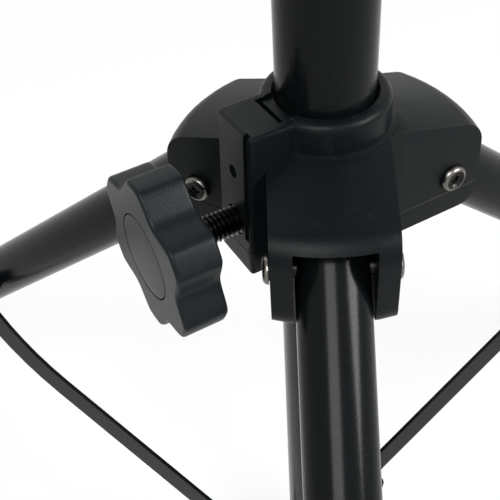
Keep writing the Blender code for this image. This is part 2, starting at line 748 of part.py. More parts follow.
def rivet(name, parent, tip, seat, far_head):
    """Rivet along X with a domed head at x = seat and, if wanted, one at x = tip."""
    head = button_head(RIVET_HEAD_R, RIVET_HEAD_HEIGHT, seat, 1)[1:]
    if far_head:
        tail = button_head(RIVET_HEAD_R, RIVET_HEAD_HEIGHT, tip, -1)[:0:-1]
    else:
        tail = [(0, tip)]
    body = turned(tail + [(RIVET_R, tip), (RIVET_R, seat)] + head, SIDES_SMALL, ALONG_X)
    piece(name, body, dark_nickel(), parent)


def spacer(name, parent):
    """Nylon distance ring between the leg and its brace."""
    start = LEG_D / 2 + GAP
    stop = BRACE_SIDE_OUT - BRACE_THICKNESS / 2 - GAP
    profile = [(RIVET_R + GAP, start), (SPACER_R, start), (SPACER_R, stop), (RIVET_R + GAP, stop)]
    body = turned(profile, SIDES_SMALL, ALONG_X)
    piece(name, body, black_nylon(), parent)


def leg_set(side, stem, hub):
    """A leg with its foot, pivot bolt, brace, rivets and spacer."""
    azimuth = LEG_AZIMUTHS[side]
    plane = empty("plane_" + side, stem, (0, 0, 0), (0, 0, azimuth))
    pivot = empty("leg_pivot_" + side, plane, (0, -HUB_PIVOT_R, HUB_PIVOT_Z))
    line = empty("leg_line_" + side, pivot, (0, 0, 0), (LEG_ANGLE - pi / 2, 0, 0))
    leg_tube("leg_" + side, line)
    foot("foot_" + side, line)
    pivot_bolt("pivot_bolt_" + side, pivot)
    pivot_barrel("pivot_barrel_" + side, pivot)
    knee = empty("brace_pivot_" + side, plane, (0, -BRACE_PIVOT_R, BRACE_PIVOT_Z))
    face = BRACE_SIDE_OUT + BRACE_THICKNESS / 2 + GAP
    rivet("leg_rivet_" + side, knee, -LEG_D / 2 - GAP, face, True)
    spacer("brace_spacer_" + side, knee)
    root = empty("lower_pivot_" + side, plane, (0, -HUB_PIVOT_R, LOWER_PIVOT_Z))
    brace("brace_" + side, root)
    ear_inside = BRACE_SIDE_IN - BRACE_THICKNESS / 2 - GAP - EAR_THICKNESS
    face = BRACE_SIDE_IN + BRACE_THICKNESS / 2 + GAP
    rivet("hub_rivet_" + side, root, ear_inside + 0.2 * MM, face, False)


# Lower hub

def lower_hub(stem):
    """Collar fixed to the foot of the main tube, with one ear beside each leg's plane."""
    half = LOWER_HUB_HEIGHT / 2
    edge = 1.0 * MM
    outer = LOWER_HUB_R
    profile = [(0, -half), (outer - edge, -half), (outer, -half + edge), (outer, half - edge),
               (outer - edge, half), (0, half)]
    body = turned(profile, SIDES_LARGE)
    face = BRACE_SIDE_IN - BRACE_THICKNESS / 2 - GAP
    start = MAIN_TUBE_D / 2 - 3 * MM
    for azimuth in LEG_AZIMUTHS.values():
        shape = Matrix.Translation((start, 0, 0))
        ear = prism(stadium(HUB_PIVOT_R - start, EAR_R), face - EAR_THICKNESS, face, SIDE_VIEW @ shape)
        join(body, turn(ear, azimuth))
    cut(body, tube_bore(MAIN_TUBE_D / 2 + GAP, -half - MM, half, 0.4 * MM))
    for azimuth in LEG_AZIMUTHS.values():
        hole = rod(RIVET_R + GAP / 2, face - EAR_THICKNESS - MM, face + MM, SIDES_SMALL, ALONG_X)
        hole.data.transform(Matrix.Translation((0, -HUB_PIVOT_R, 0)))
        cut(body, turn(hole, azimuth))
    screw_hole = rod(LOCK_SCREW_R + GAP / 2, MAIN_TUBE_D / 4, outer + MM, SIDES_SMALL, OUTWARD)
    cut(body, turn(screw_hole, BASE_CLAMP_AZIMUTH))
    level = empty("lower_hub_level", stem, (0, 0, LOWER_PIVOT_Z))
    piece("lower_hub", body, black_nylon(), level)
    side = empty("lock_screw_axis", level, (0, 0, 0), (0, 0, BASE_CLAMP_AZIMUTH))
    screw = rod(LOCK_SCREW_R, MAIN_TUBE_D / 2 + GAP, outer - 0.4 * MM, SIDES_SMALL, OUTWARD)
    socket = prism([polar(1.5 * MM, pi / 3 * i) for i in range(6)], outer - 1.8 * MM, outer + MM, OUTWARD)
    piece("lock_screw", cut(screw, socket), dark_nickel(), side)


# Height clamp

def height_clamp(stem):
    """Collar on the main tube's top end that guides and clamps the upper tube."""
    edge = 2.0 * MM
    bottom, top, outer = -HEIGHT_CLAMP_BELOW, HEIGHT_CLAMP_ABOVE, HEIGHT_CLAMP_R
    rounding = arc((outer - edge, top - edge), edge, 0.0, pi / 2, 3)
    profile = [(0, bottom), (outer - edge / 2, bottom), (outer, bottom + edge / 2), *rounding, (0, top)]
    body = turned(profile, SIDES_LARGE)
    block = box((-HEIGHT_CLAMP_HALF_WIDTH, -HEIGHT_CLAMP_REACH, 2 * MM),
                (HEIGHT_CLAMP_HALF_WIDTH, -UPPER_TUBE_D / 2, top - 0.3 * MM))
    join(body, turn(bevelled(block, CLAMP_EDGE), HEIGHT_CLAMP_AZIMUTH))
    step = rod(MAIN_TUBE_D / 2 + GAP, bottom - MM, GAP, SIDES_LARGE)
    cut(body, step, tube_bore(UPPER_TUBE_D / 2 + SLIDE_FIT, -MM, top, 0.5 * MM))
    seat = UPPER_TUBE_D / 2 + GAP + SHOE_THICKNESS + SHOE_TRAVEL
    recess = shoe_recess(UPPER_TUBE_D / 4, seat, HEIGHT_STUD_Z - 12 * MM - GAP, top + MM)
    cut(body, turn(recess, HEIGHT_CLAMP_AZIMUTH))
    for bore in stud_bores(seat, HEIGHT_CLAMP_REACH + MM, HEIGHT_STUD_Z):
        cut(body, turn(bore, HEIGHT_CLAMP_AZIMUTH))
    level = empty("height_clamp_level", stem, (0, 0, TUBE_TOP))
    piece("height_clamp", body, black_nylon(), level)
    clamping_set("height", UPPER_TUBE_D, HEIGHT_STUD_Z - 12 * MM, HEIGHT_STUD_Z + 12 * MM, level,
                 HEIGHT_STUD_Z, HEIGHT_CLAMP_AZIMUTH)


# Tilting head and desk

def tilt_base(mast):
    """Socket on the upper tube with a flat tongue for the tilt bolt."""
    bottom, top = UPPER_TOP - HEAD_SOCKET_DEPTH, UPPER_TOP + HEAD_SHOULDER
    edge = 1.2 * MM
    radius = HEAD_SOCKET_R
    profile = [(0, bottom), (radius - edge, bottom), (radius, bottom + edge), (radius, top - edge),
               (radius - edge, top), (0, top)]
    body = turned(profile, SIDES_MEDIUM)
    neck = top - 8 * MM
    outline = arc((0, TILT_Z), TONGUE_R, 0.0, pi, 12) + [(-TONGUE_R, neck), (TONGUE_R, neck)]
    tongue = prism(outline, -TONGUE_HALF, TONGUE_HALF, SIDE_VIEW)
    join(body, tongue)
    cut(body, rod(UPPER_TUBE_D / 2 + GAP, bottom - MM, UPPER_TOP + GAP, SIDES_MEDIUM))
    hole = rod(TILT_BOLT_R + GAP, -TONGUE_HALF - MM, TONGUE_HALF + MM, SIDES_SMALL, ALONG_X)
    cut(body, lift(hole, TILT_Z))
    piece("tilt_base", body, black_nylon(), mast)


def desk_bracket(desk):
    """Steel channel: a plate on the desk's back and two ears for the tilt bolt."""
    front, back = DESK_OFFSET, DESK_OFFSET - EAR_PLATE
    edge = 6 * MM
    corners = ((1, 1, 0.0), (-1, 1, pi / 2), (-1, -1, pi), (1, -1, 1.5 * pi))
    outline = []
    for right, up, start in corners:
        centre = (right * (BRACKET_HALF_WIDTH - edge), up * (BRACKET_HALF_HEIGHT - edge))
        outline += arc(centre, edge, start, start + pi / 2, 4)
    body = prism(outline, back, front, OUTWARD)
    inner = TONGUE_HALF + GAP
    base = BRACKET_HALF_HEIGHT * 0.5
    for start in (inner, -inner - EAR_PLATE):
        lower = -asin(BRACKET_EAR_R / hypot(back, base)) - atan2(base, -back)
        upper = -lower
        shape = arc((0, 0), BRACKET_EAR_R, lower + pi / 2, upper - pi / 2, 10)
        shape = [(-x, y) for x, y in shape]
        shape += [(back + 0.5 * MM, base), (back + 0.5 * MM, -base)]
        join(body, prism(shape, start, start + EAR_PLATE, SIDE_VIEW))
    cut(body, rod(TILT_BOLT_R + GAP / 2, -TILT_BOLT_LENGTH, TILT_BOLT_LENGTH, SIDES_SMALL, ALONG_X))
    for x, z in bracket_rivet_places():
        hole = rod(DESK_RIVET_R + GAP / 2, back - MM, front + MM, SIDES_SMALL, OUTWARD)
        hole.data.transform(Matrix.Translation((x, 0, z)))
        cut(body, hole)
    piece("desk_bracket", body, black_coat(), desk)


def bracket_rivet_places():
    inset = 9 * MM
    x, z = BRACKET_HALF_WIDTH - inset, BRACKET_HALF_HEIGHT - inset
    return [(x, z), (-x, z), (-x, -z), (x, -z)]


def tilt_fastener(desk):
    """Domed bolt from the left, washer and star knob on the right."""
    head_seat = -(TONGUE_HALF + 2 * GAP + EAR_PLATE)
    face = -head_seat
    tip = head_seat + TILT_BOLT_LENGTH
    profile = [(0, tip), (TILT_BOLT_R, tip), (TILT_BOLT_R, head_seat)]
    profile += button_head(2 * TILT_BOLT_R, 3 * MM, head_seat, -1)[1:]
    piece("tilt_bolt", turned(profile, SIDES_SMALL, ALONG_X), dark_nickel(), desk)
    ring = [(TILT_BOLT_R + GAP, face), (WASHER_R, face), (WASHER_R, face + WASHER_THICKNESS),
            (TILT_BOLT_R + GAP, face + WASHER_THICKNESS)]
    piece("tilt_washer", turned(ring, SIDES_MEDIUM, ALONG_X), zinc(), desk)
    grip = empty("tilt_knob_axis", desk, (face + WASHER_THICKNESS + GAP, 0, 0), (0, pi / 2, 0))
    star_knob("tilt", grip, TILT_KNOB_SCALE, 2 * TILT_BOLT_R)


def desk_front():
    """Distance of the panel's front face from the tilt axis."""
    return DESK_OFFSET + GAP + DESK_SHEET


def desk_rivet(name, desk, x, z, start, stop):
    """Short rivet through the desk with a low head on the front and a flat tail."""
    seat = start + DESK_RIVET_HEAD - GAP
    top = stop + DESK_RIVET_HEAD
    profile = [(0, start), (DESK_RIVET_HEAD_R, start), (DESK_RIVET_HEAD_R, seat), (DESK_RIVET_R, seat),
               (DESK_RIVET_R, stop), (DESK_RIVET_HEAD_R, stop), (DESK_RIVET_HEAD_R * 0.6, top), (0, top)]
    body = turned(profile, SIDES_SMALL, OUTWARD)
    body.data.transform(Matrix.Translation((x, 0, z)))
    piece(name, body, dark_nickel(), desk)


def panel_outline(inset):
    """Desk outline with round top corners, seen from the front."""
    half = DESK_WIDTH / 2 - inset
    top = DESK_HEIGHT / 2 - inset
    bottom = -DESK_HEIGHT / 2
    corner = DESK_CORNER - inset
    right = arc((half - corner, top - corner), corner, 0.0, pi / 2, 6)
    left = arc((-half + corner, top - corner), corner, pi / 2, pi, 6)
    return [(half, bottom), *right, *left, (-half, bottom)]


def ledge_rivet_places():
    z = -DESK_HEIGHT / 2 + LEDGE_BACK / 2
    reach = DESK_WIDTH / 2 - 45 * MM
    return [(-reach, z), (0.0, z), (reach, z)]


def desk_panel(desk):
    """Sheet steel panel with a rim turned back on three sides and rows of round holes."""
    front = desk_front()
    back = front - DESK_SHEET
    body = prism(panel_outline(0.0), back - DESK_RIM, front, OUTWARD)
    tray = panel_outline(DESK_SHEET)
    tray[0] = (tray[0][0], -DESK_HEIGHT)
    tray[-1] = (tray[-1][0], -DESK_HEIGHT)
    cut(body, prism(tray, back - DESK_RIM - MM, back, OUTWARD))
    holes = []
    for row in range(DESK_HOLE_ROWS):
        for column in range(DESK_HOLE_COLUMNS):
            x = (column - (DESK_HOLE_COLUMNS - 1) / 2) * DESK_HOLE_PITCH_X
            z = (row - (DESK_HOLE_ROWS - 1) / 2) * DESK_HOLE_PITCH_Z
            if abs(x) < BRACKET_HALF_WIDTH + DESK_HOLE_R and abs(z) < BRACKET_HALF_HEIGHT + DESK_HOLE_R:
                continue
            holes.append((x, z, DESK_HOLE_R, SIDES_SMALL))
    holes += [(x, z, DESK_RIVET_R + GAP / 2, SIDES_SMALL) for x, z in bracket_rivet_places()]
    holes += [(x, z, DESK_RIVET_R + GAP / 2, SIDES_SMALL) for x, z in ledge_rivet_places()]
    for x, z, radius, sides in holes:
        punch = rod(radius, back - MM, front + MM, sides, OUTWARD)
        punch.data.transform(Matrix.Translation((x, 0, z)))
        cut(body, punch)
    piece("desk_panel", body, black_coat(), desk)


def desk_ledge(desk):
    """Folded steel ledge that holds the music, with an upturned lip."""
    wall = DESK_SHEET
    back = -desk_front() - GAP
    low = -DESK_HEIGHT / 2
    lip = back - LEDGE_DEPTH
    outline = [(back, low - wall), (back, low + LEDGE_BACK)]
    outline += [(back - wall, low + LEDGE_BACK), (back - wall, low)]
    outline += [(lip + wall, low), (lip + wall, low + LEDGE_LIP)]
    outline += [(lip, low + LEDGE_LIP), (lip, low - wall)]
    outline = [(-y, z) for y, z in outline]
    half = DESK_WIDTH / 2 - LEDGE_SIDE_INSET
    body = prism(outline, -half, half, SIDE_VIEW)
    for x, z in ledge_rivet_places():
        hole = rod(DESK_RIVET_R + GAP / 2, desk_front(), desk_front() + 4 * MM, SIDES_SMALL, OUTWARD)
        hole.data.transform(Matrix.Translation((x, 0, z)))
        cut(body, hole)
    piece("desk_ledge", body, black_coat(), desk)


def desk_set(mast):
    desk = empty("desk_tilt", mast, (0, 0, TILT_Z), (-DESK_TILT, 0, 0))
    tilt_base(mast)
    desk_bracket(desk)
    tilt_fastener(desk)
    desk_panel(desk)
    desk_ledge(desk)
    back = DESK_OFFSET - EAR_PLATE
    for i, (x, z) in enumerate(bracket_rivet_places()):
        desk_rivet("bracket_rivet_%d" % (i + 1), desk, x, z, back - DESK_RIVET_HEAD, desk_front() + GAP)
    back = desk_front() - DESK_SHEET
    face = desk_front() + GAP + DESK_SHEET + GAP
    for i, (x, z) in enumerate(ledge_rivet_places()):
        desk_rivet("ledge_rivet_%d" % (i + 1), desk, x, z, back - DESK_RIVET_HEAD, face)


def main():
    for item in list(bpy.data.objects):
        bpy.data.objects.remove(item)
    stem = empty("stand_axis", None, (0, AXIS_Y, 0))
    main_tube(stem)
    tube_plug(stem)
    lower_hub(stem)
    hub = empty("hub_pivot", stem, (0, -HUB_PIVOT_R, HUB_PIVOT_Z))
    tripod_hub(hub)
    hub_axis = empty("hub_axis", hub, (0, HUB_PIVOT_R, HUB_Z - HUB_PIVOT_Z))
    clamping_set("base", MAIN_TUBE_D, HUB_BOTTOM + 3 * MM, HUB_RING_TOP - MM, hub_axis, BASE_STUD_Z,
                 BASE_CLAMP_AZIMUTH)
    for side in LEG_AZIMUTHS:
        leg_set(side, stem, hub)
    height_clamp(stem)
    carriage = empty("height_slide", stem)
    slide_bush(carriage)
    mast = empty("mast_swivel", carriage)
    upper_tube(mast)
    desk_set(mast)
    bpy.context.view_layer.update()


main()
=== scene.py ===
"""Looks of the orchestral music stand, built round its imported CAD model."""

import json
from math import cos, pi, radians, sin, sqrt

import bpy
from bpy.props import FloatProperty, FloatVectorProperty, IntProperty, PointerProperty
from mathutils import Matrix, Vector


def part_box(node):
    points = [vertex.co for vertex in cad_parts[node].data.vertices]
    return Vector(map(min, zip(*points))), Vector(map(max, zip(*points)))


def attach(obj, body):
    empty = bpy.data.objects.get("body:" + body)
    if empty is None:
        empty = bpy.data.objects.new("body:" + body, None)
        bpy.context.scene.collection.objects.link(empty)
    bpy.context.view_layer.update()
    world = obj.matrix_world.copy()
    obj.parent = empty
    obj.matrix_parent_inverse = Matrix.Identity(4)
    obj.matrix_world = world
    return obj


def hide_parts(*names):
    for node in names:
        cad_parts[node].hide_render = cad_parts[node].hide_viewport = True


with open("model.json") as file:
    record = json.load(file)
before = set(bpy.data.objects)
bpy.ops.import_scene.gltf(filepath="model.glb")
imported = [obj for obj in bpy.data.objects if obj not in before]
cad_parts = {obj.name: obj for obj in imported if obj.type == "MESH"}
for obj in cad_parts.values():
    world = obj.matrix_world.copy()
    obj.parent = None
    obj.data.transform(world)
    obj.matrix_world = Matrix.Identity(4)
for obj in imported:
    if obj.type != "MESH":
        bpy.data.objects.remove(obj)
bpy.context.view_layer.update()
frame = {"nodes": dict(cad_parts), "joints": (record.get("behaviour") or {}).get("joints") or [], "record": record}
NODES = frame["nodes"]
RECORD = frame["record"]
JOINTS = {joint["name"]: joint for joint in frame["joints"]}
BODY_OF = {node: body for body, nodes in RECORD["behaviour"]["bodies"].items() for node in nodes}
SLOT_OF = {part["node"]: part["material_slot"] for part in RECORD["subparts"]}
SIDES = ("front", "right", "left")
CLAMPS = ("base", "height")
MM = 0.001
UP = Vector((0.0, 0.0, 1.0))

bl_info = {
    "name": "Orchestral Music Stand",
    "version": (1, 0, 0),
    "blender": (4, 5, 0),
    "location": "3D View > Sidebar > Music Stand",
    "description": "Builds the moulded, turned and folded pieces of a folding music stand",
    "category": "Object",
}


# Sizes and colours

class StandSizes(bpy.types.PropertyGroup):
    """Sizes that the photograph's details hang on"""
    knob_radius: FloatProperty(name="Knob radius", description="Over the lobes of a star knob",
                               default=22.5 * MM, unit="LENGTH")
    knob_waist: FloatProperty(name="Knob waist", description="Between the lobes of a star knob",
                              default=18.4 * MM, unit="LENGTH")
    knob_height: FloatProperty(name="Knob height", description="Thickness of a star knob",
                               default=12.3 * MM, unit="LENGTH")
    knob_round: FloatProperty(name="Knob rounding", description="Radius of the knob's rims",
                              default=1.1 * MM, unit="LENGTH")
    knob_lobes: IntProperty(name="Knob lobes", description="Lobes of a star knob", default=6)
    knob_crest: FloatProperty(name="Knob crest", description="Above 1, it flattens the lobes",
                              default=1.2)
    cap_radius: FloatProperty(name="Cap radius", description="Cap that closes a star knob",
                              default=11.4 * MM, unit="LENGTH")
    thread_pitch: FloatProperty(name="Thread pitch",
                                description="Rise of a stud's thread in one turn",
                                default=1.25 * MM, unit="LENGTH")
    thread_depth: FloatProperty(name="Thread depth", description="From crest to root",
                                default=0.62 * MM, unit="LENGTH")
    moulded_edge: FloatProperty(name="Moulded edge", description="Rounding of moulded edges",
                                default=0.45 * MM, unit="LENGTH")
    metal_edge: FloatProperty(name="Metal edge", description="Rounding of cut and folded sheet",
                              default=0.3 * MM, unit="LENGTH")
    desk_hole: FloatProperty(name="Desk hole", description="Radius of the round holes in the desk",
                             default=8.0 * MM, unit="LENGTH")
    bolt_head: FloatProperty(name="Bolt head", description="Radius of a button head",
                             default=3.9 * MM, unit="LENGTH")
    bolt_dome: FloatProperty(name="Bolt dome", description="Height of a button head",
                             default=1.6 * MM, unit="LENGTH")
    bolt_dish: FloatProperty(name="Bolt dish",
                             description="Radius of the dished middle of a bolt's head",
                             default=2.9 * MM, unit="LENGTH")
    bolt_socket: FloatProperty(name="Bolt socket", description="Across the flats of the socket",
                               default=2.5 * MM, unit="LENGTH")


class StandFinish(bpy.types.PropertyGroup):
    """Colours and surface relief of the stand's finishes"""
    coat: FloatVectorProperty(name="Powder coat", description="Colour of tubes, bars and desk",
                              subtype="COLOR", default=(0.0024, 0.0031, 0.0035))
    nylon: FloatVectorProperty(name="Moulded nylon", description="Colour of hub, clamps and knobs",
                               subtype="COLOR", default=(0.0030, 0.0041, 0.0047))
    rubber: FloatVectorProperty(name="Rubber", description="Colour of the feet",
                                subtype="COLOR", default=(0.014, 0.014, 0.014))
    nickel: FloatVectorProperty(name="Dark nickel", description="Colour of bolts, studs and rivets",
                                subtype="COLOR", default=(0.150, 0.142, 0.130))
    # Painted shade: a dark nickel colour on threads, bolt dishes, sockets and shanks, standing in for their shade
    # and dark reflections
    painted_shade: FloatVectorProperty(name="Dark oxide",
                               description="Colour of threads and of the bolts' dishes",
                               subtype="COLOR", default=(0.022, 0.021, 0.019))
    zinc: FloatVectorProperty(name="Zinc plate", description="Colour of inserts and washer",
                              subtype="COLOR", default=(0.50, 0.50, 0.48))
    dust: FloatVectorProperty(name="Dust", description="Colour of handling marks",
                              subtype="COLOR", default=(0.045, 0.050, 0.052))
    paper: FloatVectorProperty(name="Floor", description="Colour of floor and background",
                               subtype="COLOR", default=(0.86, 0.86, 0.86))
    grain: FloatProperty(name="Grain relief", description="Strength of the moulded grain",
                         default=0.12)


def sizes():
    return bpy.context.scene.stand_sizes


def colours():
    return bpy.context.scene.stand_finish


# Fixed measures, in metres and radians

EDGE_ANGLE = radians(32)            # corners sharper than this are rounded
RIM_ANGLE = radians(60)             # the same on turned pieces, where only the rims count
FINE_EDGE = 0.25 * MM               # rounding of tube ends, shoes and small fasteners
RIVET_EDGE = 0.35 * MM
SMALL_RIVET_EDGE = 0.3 * MM
SPACER_EDGE = 0.2 * MM
FOOT_EDGE = 0.3 * MM

KNOB_SCALES = {"base": 1.0, "height": 1.0, "tilt": 0.8}
KNOB_PHASE = radians(31.0)          # turn of the lobes about the stud
KNOB_SIDES = 168
KNOB_LIP = 0.22 * MM                # rounding of the recess for the cap
CAP_SIDES = 96
CAP_GAP = 0.3 * MM
CAP_RECESS = 1.0 * MM
CAP_BACK, CAP_FACE = 0.85 * MM, 0.05 * MM   # depths below the knob's face
CAP_STEPS = (2.2 * MM, 5.0 * MM)    # widths of the two rings that crown the cap
CAP_CROWN = 0.12 * MM               # rise of each ring
CAP_EDGE = 0.2 * MM
DESK_SLOPE = radians(20.0)

STUD_RADIUS = 3.95 * MM
BASE_STUD = 34.8 * MM               # the base stud is oblique, so its box doesn't give its length
PLAIN_ENDS = 1.6 * MM               # length that both ends of a stud leave without thread
STUD_TIP = 0.5 * MM
THREAD_STEPS = 40

HEAD_ROUND = 1.45 * MM
HEAD_EDGE = 0.08 * MM
DISH_SLANT = 1.1 * MM               # how much narrower the dish is at its bottom
DISH_BELOW, DISH_ABOVE = 0.8 * MM, 0.4 * MM     # reach of the dish's cutter from the head's top
SOCKET_DEPTH = 1.3 * MM
SOCKET_TURN = radians(12)
BOLT_REACH, BOLT_SHANK = 23.5 * MM, 2.0 * MM
BARREL_REACH, BARREL_SHANK = 30.3 * MM, 3.0 * MM
BARREL_BORE = (2.3 * MM, -31.0 * MM, -1.2 * MM)     # radius, bottom and top
BOLT_SEAT = 15.8 * MM               # from a pivot's middle to the underside of a head
RIM_SLACK = 0.1 * MM

# The clamp block's frame: Z along the stud, X across it, origin on the tube's axis at the hub's top
GROOVE = ((4.9 * MM, -33.0 * MM, 25.4 * MM), (7.0 * MM, 2.0 * MM, 40.0 * MM))
PIN_RADIUS = 1.8 * MM
PIN_SPOT = (-0.6 * MM, -14.8 * MM)
PIN_BOTTOM, PIN_TOP = 24.0 * MM, 32.0 * MM
HUB_LINE = 7.4 * MM                 # height of the hub's parting line above its lowest point
LINE_DEPTH = LINE_HALF = 0.12 * MM

FOOT_RIBS = 4
RIB_START, RIB_STEP = 17.0 * MM, 4.2 * MM
RIB_DEPTH, RIB_HALF = 0.55 * MM, 0.7 * MM

HOLE_WALLS = 12                     # flat walls of a round hole in the desk's solid
SAME_HOLE = 0.3 * MM
HOLE_SLACK = 0.05 * MM

LAMP_AIM = (0.0, 0.07, 0.25)
LAMPS = (("Left front softbox", (-0.30, -0.88, 1.22), 0.70, 17.0),
         ("Right front softbox", (1.10, -0.32, 0.92), 0.60, 24.0),
         ("Back softbox", (-0.45, 1.10, 1.25), 0.9, 3.0))
AIR_LIGHT = 0.35


# Shared effects

def new_group(name, inputs, outputs):
    """A shader node group with named sockets, and its two end nodes."""
    tree = bpy.data.node_groups.new(name, "ShaderNodeTree")
    for label, kind, value in inputs:
        socket = tree.interface.new_socket(name=label, in_out="INPUT", socket_type=kind)
        if value is not None:
            socket.default_value = value
    for label, kind in outputs:
        tree.interface.new_socket(name=label, in_out="OUTPUT", socket_type=kind)
    return tree, tree.nodes.new("NodeGroupInput"), tree.nodes.new("NodeGroupOutput")


def node(tree, kind, **values):
    """A shader node with its settings and unlinked socket values."""
    made = tree.nodes.new(kind)
    for key, value in values.items():
        if hasattr(made, key):
            setattr(made, key, value)
        else:
            made.inputs[key.replace("_", " ").title()].default_value = value
    return made


def mouldings_group():
    """Fine spark-eroded grain of moulded nylon: a height, and a mask of its pits."""
    tree, start, end = new_group("Moulded grain", [("Vector", "NodeSocketVector", None),
                                                   ("Size", "NodeSocketFloat", 3200.0)],
                                 [("Height", "NodeSocketFloat"), ("Pits", "NodeSocketFloat")])
    fine = node(tree, "ShaderNodeTexNoise", detail=3.0, roughness=0.6)
    cells = node(tree, "ShaderNodeTexVoronoi", feature="F1")
    blend = node(tree, "ShaderNodeMath", operation="MULTIPLY_ADD")
    blend.inputs[1].default_value = 0.45
    pits = node(tree, "ShaderNodeMapRange", from_min=0.35, from_max=0.72)
    link = tree.links.new
    for texture in (fine, cells):
        link(start.outputs["Vector"], texture.inputs["Vector"])
        link(start.outputs["Size"], texture.inputs["Scale"])
    link(cells.outputs["Distance"], blend.inputs[0])
    link(fine.outputs["Fac"], blend.inputs[2])
    link(blend.outputs["Value"], end.inputs["Height"])
    link(fine.outputs["Fac"], pits.inputs["Value"])
    link(pits.outputs["Result"], end.inputs["Pits"])


def handling_group():
    """Soft uneven patches and a few fine rubs, as handling leaves them."""
    tree, start, end = new_group("Handling marks", [("Vector", "NodeSocketVector", None),
                                                    ("Amount", "NodeSocketFloat", 0.3)],
                                 [("Patches", "NodeSocketFloat"), ("Rubs", "NodeSocketFloat")])
    broad = node(tree, "ShaderNodeTexNoise", scale=38.0, detail=4.0, roughness=0.55)
    stretch = node(tree, "ShaderNodeMapping", scale=(260.0, 260.0, 26.0))
    thin = node(tree, "ShaderNodeTexNoise", scale=1.0, detail=5.0, roughness=0.7)
    patches = node(tree, "ShaderNodeMapRange", from_min=0.42, from_max=0.72)
    rubs = node(tree, "ShaderNodeMapRange", from_min=0.60, from_max=0.78)
    link = tree.links.new
    link(start.outputs["Vector"], broad.inputs["Vector"])
    link(start.outputs["Vector"], stretch.inputs["Vector"])
    link(stretch.outputs["Vector"], thin.inputs["Vector"])
    for texture, mask, label in ((broad, patches, "Patches"), (thin, rubs, "Rubs")):
        link(texture.outputs["Fac"], mask.inputs["Value"])
        link(start.outputs["Amount"], mask.inputs["To Max"])
        link(mask.outputs["Result"], end.inputs[label])


def finish(name, colour, smoothest, roughest, metallic, gloss, grain, size, marks):
    """A procedural finish: coloured base, handling marks, and a fine relief."""
    material = bpy.data.materials.new(name)
    material.use_nodes = True
    tree = material.node_tree
    link = tree.links.new
    shader = tree.nodes["Principled BSDF"]
    shader.inputs["Metallic"].default_value = metallic
    shader.inputs["Specular IOR Level"].default_value = gloss
    spot = node(tree, "ShaderNodeTexCoord")
    relief = node(tree, "ShaderNodeGroup", node_tree=bpy.data.node_groups["Moulded grain"])
    relief.inputs["Size"].default_value = size
    worn = node(tree, "ShaderNodeGroup", node_tree=bpy.data.node_groups["Handling marks"])
    worn.inputs["Amount"].default_value = marks
    for group in (relief, worn):
        link(spot.outputs["Object"], group.inputs["Vector"])
    speckle = node(tree, "ShaderNodeMix", data_type="RGBA")
    speckle.inputs["A"].default_value = (*[c * 0.82 for c in colour], 1.0)
    speckle.inputs["B"].default_value = (*[min(c * 1.25, 1.0) for c in colour], 1.0)
    dusty = node(tree, "ShaderNodeMix", data_type="RGBA")
    dusted = [c + (d - c) * 0.35 for c, d in zip(colour, colours().dust)]
    dusty.inputs["B"].default_value = (*dusted, 1.0)
    link(relief.outputs["Pits"], speckle.inputs["Factor"])
    link(speckle.outputs["Result"], dusty.inputs["A"])
    link(worn.outputs["Rubs"], dusty.inputs["Factor"])
    link(dusty.outputs["Result"], shader.inputs["Base Color"])
    sheen = node(tree, "ShaderNodeMapRange", to_min=smoothest, to_max=roughest)
    uneven = node(tree, "ShaderNodeMath", operation="MAXIMUM")
    link(worn.outputs["Patches"], uneven.inputs[0])
    link(relief.outputs["Pits"], uneven.inputs[1])
    link(uneven.outputs["Value"], sheen.inputs["Value"])
    link(sheen.outputs["Result"], shader.inputs["Roughness"])
    bump = node(tree, "ShaderNodeBump", strength=grain, distance=0.1 * MM)
    link(relief.outputs["Height"], bump.inputs["Height"])
    link(bump.outputs["Normal"], shader.inputs["Normal"])
    return material


FINISHES = {}


def make_finishes():
    """One material for each slot of the record, a darker nickel for painted shade, and a lighter, worn nylon for
    painted light on the knobs.
    """
    mouldings_group()
    handling_group()
    look = colours()
    # Painted light: a lighter copy of the nylon colour, for the light on the knobs' faces
    lit_nylon = [c * 1.8 for c in look.nylon]
    # Key, name, colour, least and most roughness, metal, gloss, share of grain, its size, marks
    rows = (
        ("black_powder_coat", "Satin powder coat", look.coat,
         0.16, 0.24, 0.0, 0.09, 0.4, 2100.0, 0.20),
        ("black_nylon", "Grained black nylon", look.nylon,
         0.30, 0.42, 0.0, 0.08, 4.0, 2600.0, 0.35),
        # Knob nylon: lighter colour for painted light, and more handling marks for real wear
        ("lit_worn_knob_nylon", "Lit and worn grained nylon", lit_nylon,
         0.30, 0.44, 0.0, 0.11, 3.0, 2600.0, 0.45),
        ("black_rubber", "Matt rubber", look.rubber,
         0.72, 0.92, 0.0, 0.5, 2.0, 1500.0, 0.5),
        ("dark_nickel", "Dark nickel plate", look.nickel,
         0.20, 0.38, 1.0, 0.5, 0.5, 2600.0, 0.4),
        # Darker nickel: painted shade and dark reflection in dishes, sockets, shanks and threads
        ("painted_shade_nickel", "Nickel with painted shade", look.painted_shade,
         0.22, 0.40, 1.0, 0.5, 0.5, 2600.0, 0.3),
        ("zinc_plate", "Bright zinc plate", look.zinc,
         0.26, 0.42, 1.0, 0.5, 0.5, 2600.0, 0.3),
    )
    for key, name, colour, smoothest, roughest, metallic, gloss, share, size, marks in rows:
        FINISHES[key] = finish(name, colour, smoothest, roughest, metallic, gloss,
                               look.grain * share, size, marks)


# Working with pieces

def deselect():
    """Leave edit mode and deselect everything."""
    if bpy.context.view_layer.objects.active and bpy.context.object.mode != "OBJECT":
        bpy.ops.object.mode_set(mode="OBJECT")
    bpy.ops.object.select_all(action="DESELECT")


def work_on(piece):
    deselect()
    piece.select_set(True)
    bpy.context.view_layer.objects.active = piece


def join(first, *others):
    """Join pieces into the first one."""
    deselect()
    for piece in (first, *others):
        piece.select_set(True)
    bpy.context.view_layer.objects.active = first
    bpy.ops.object.join()
    return first


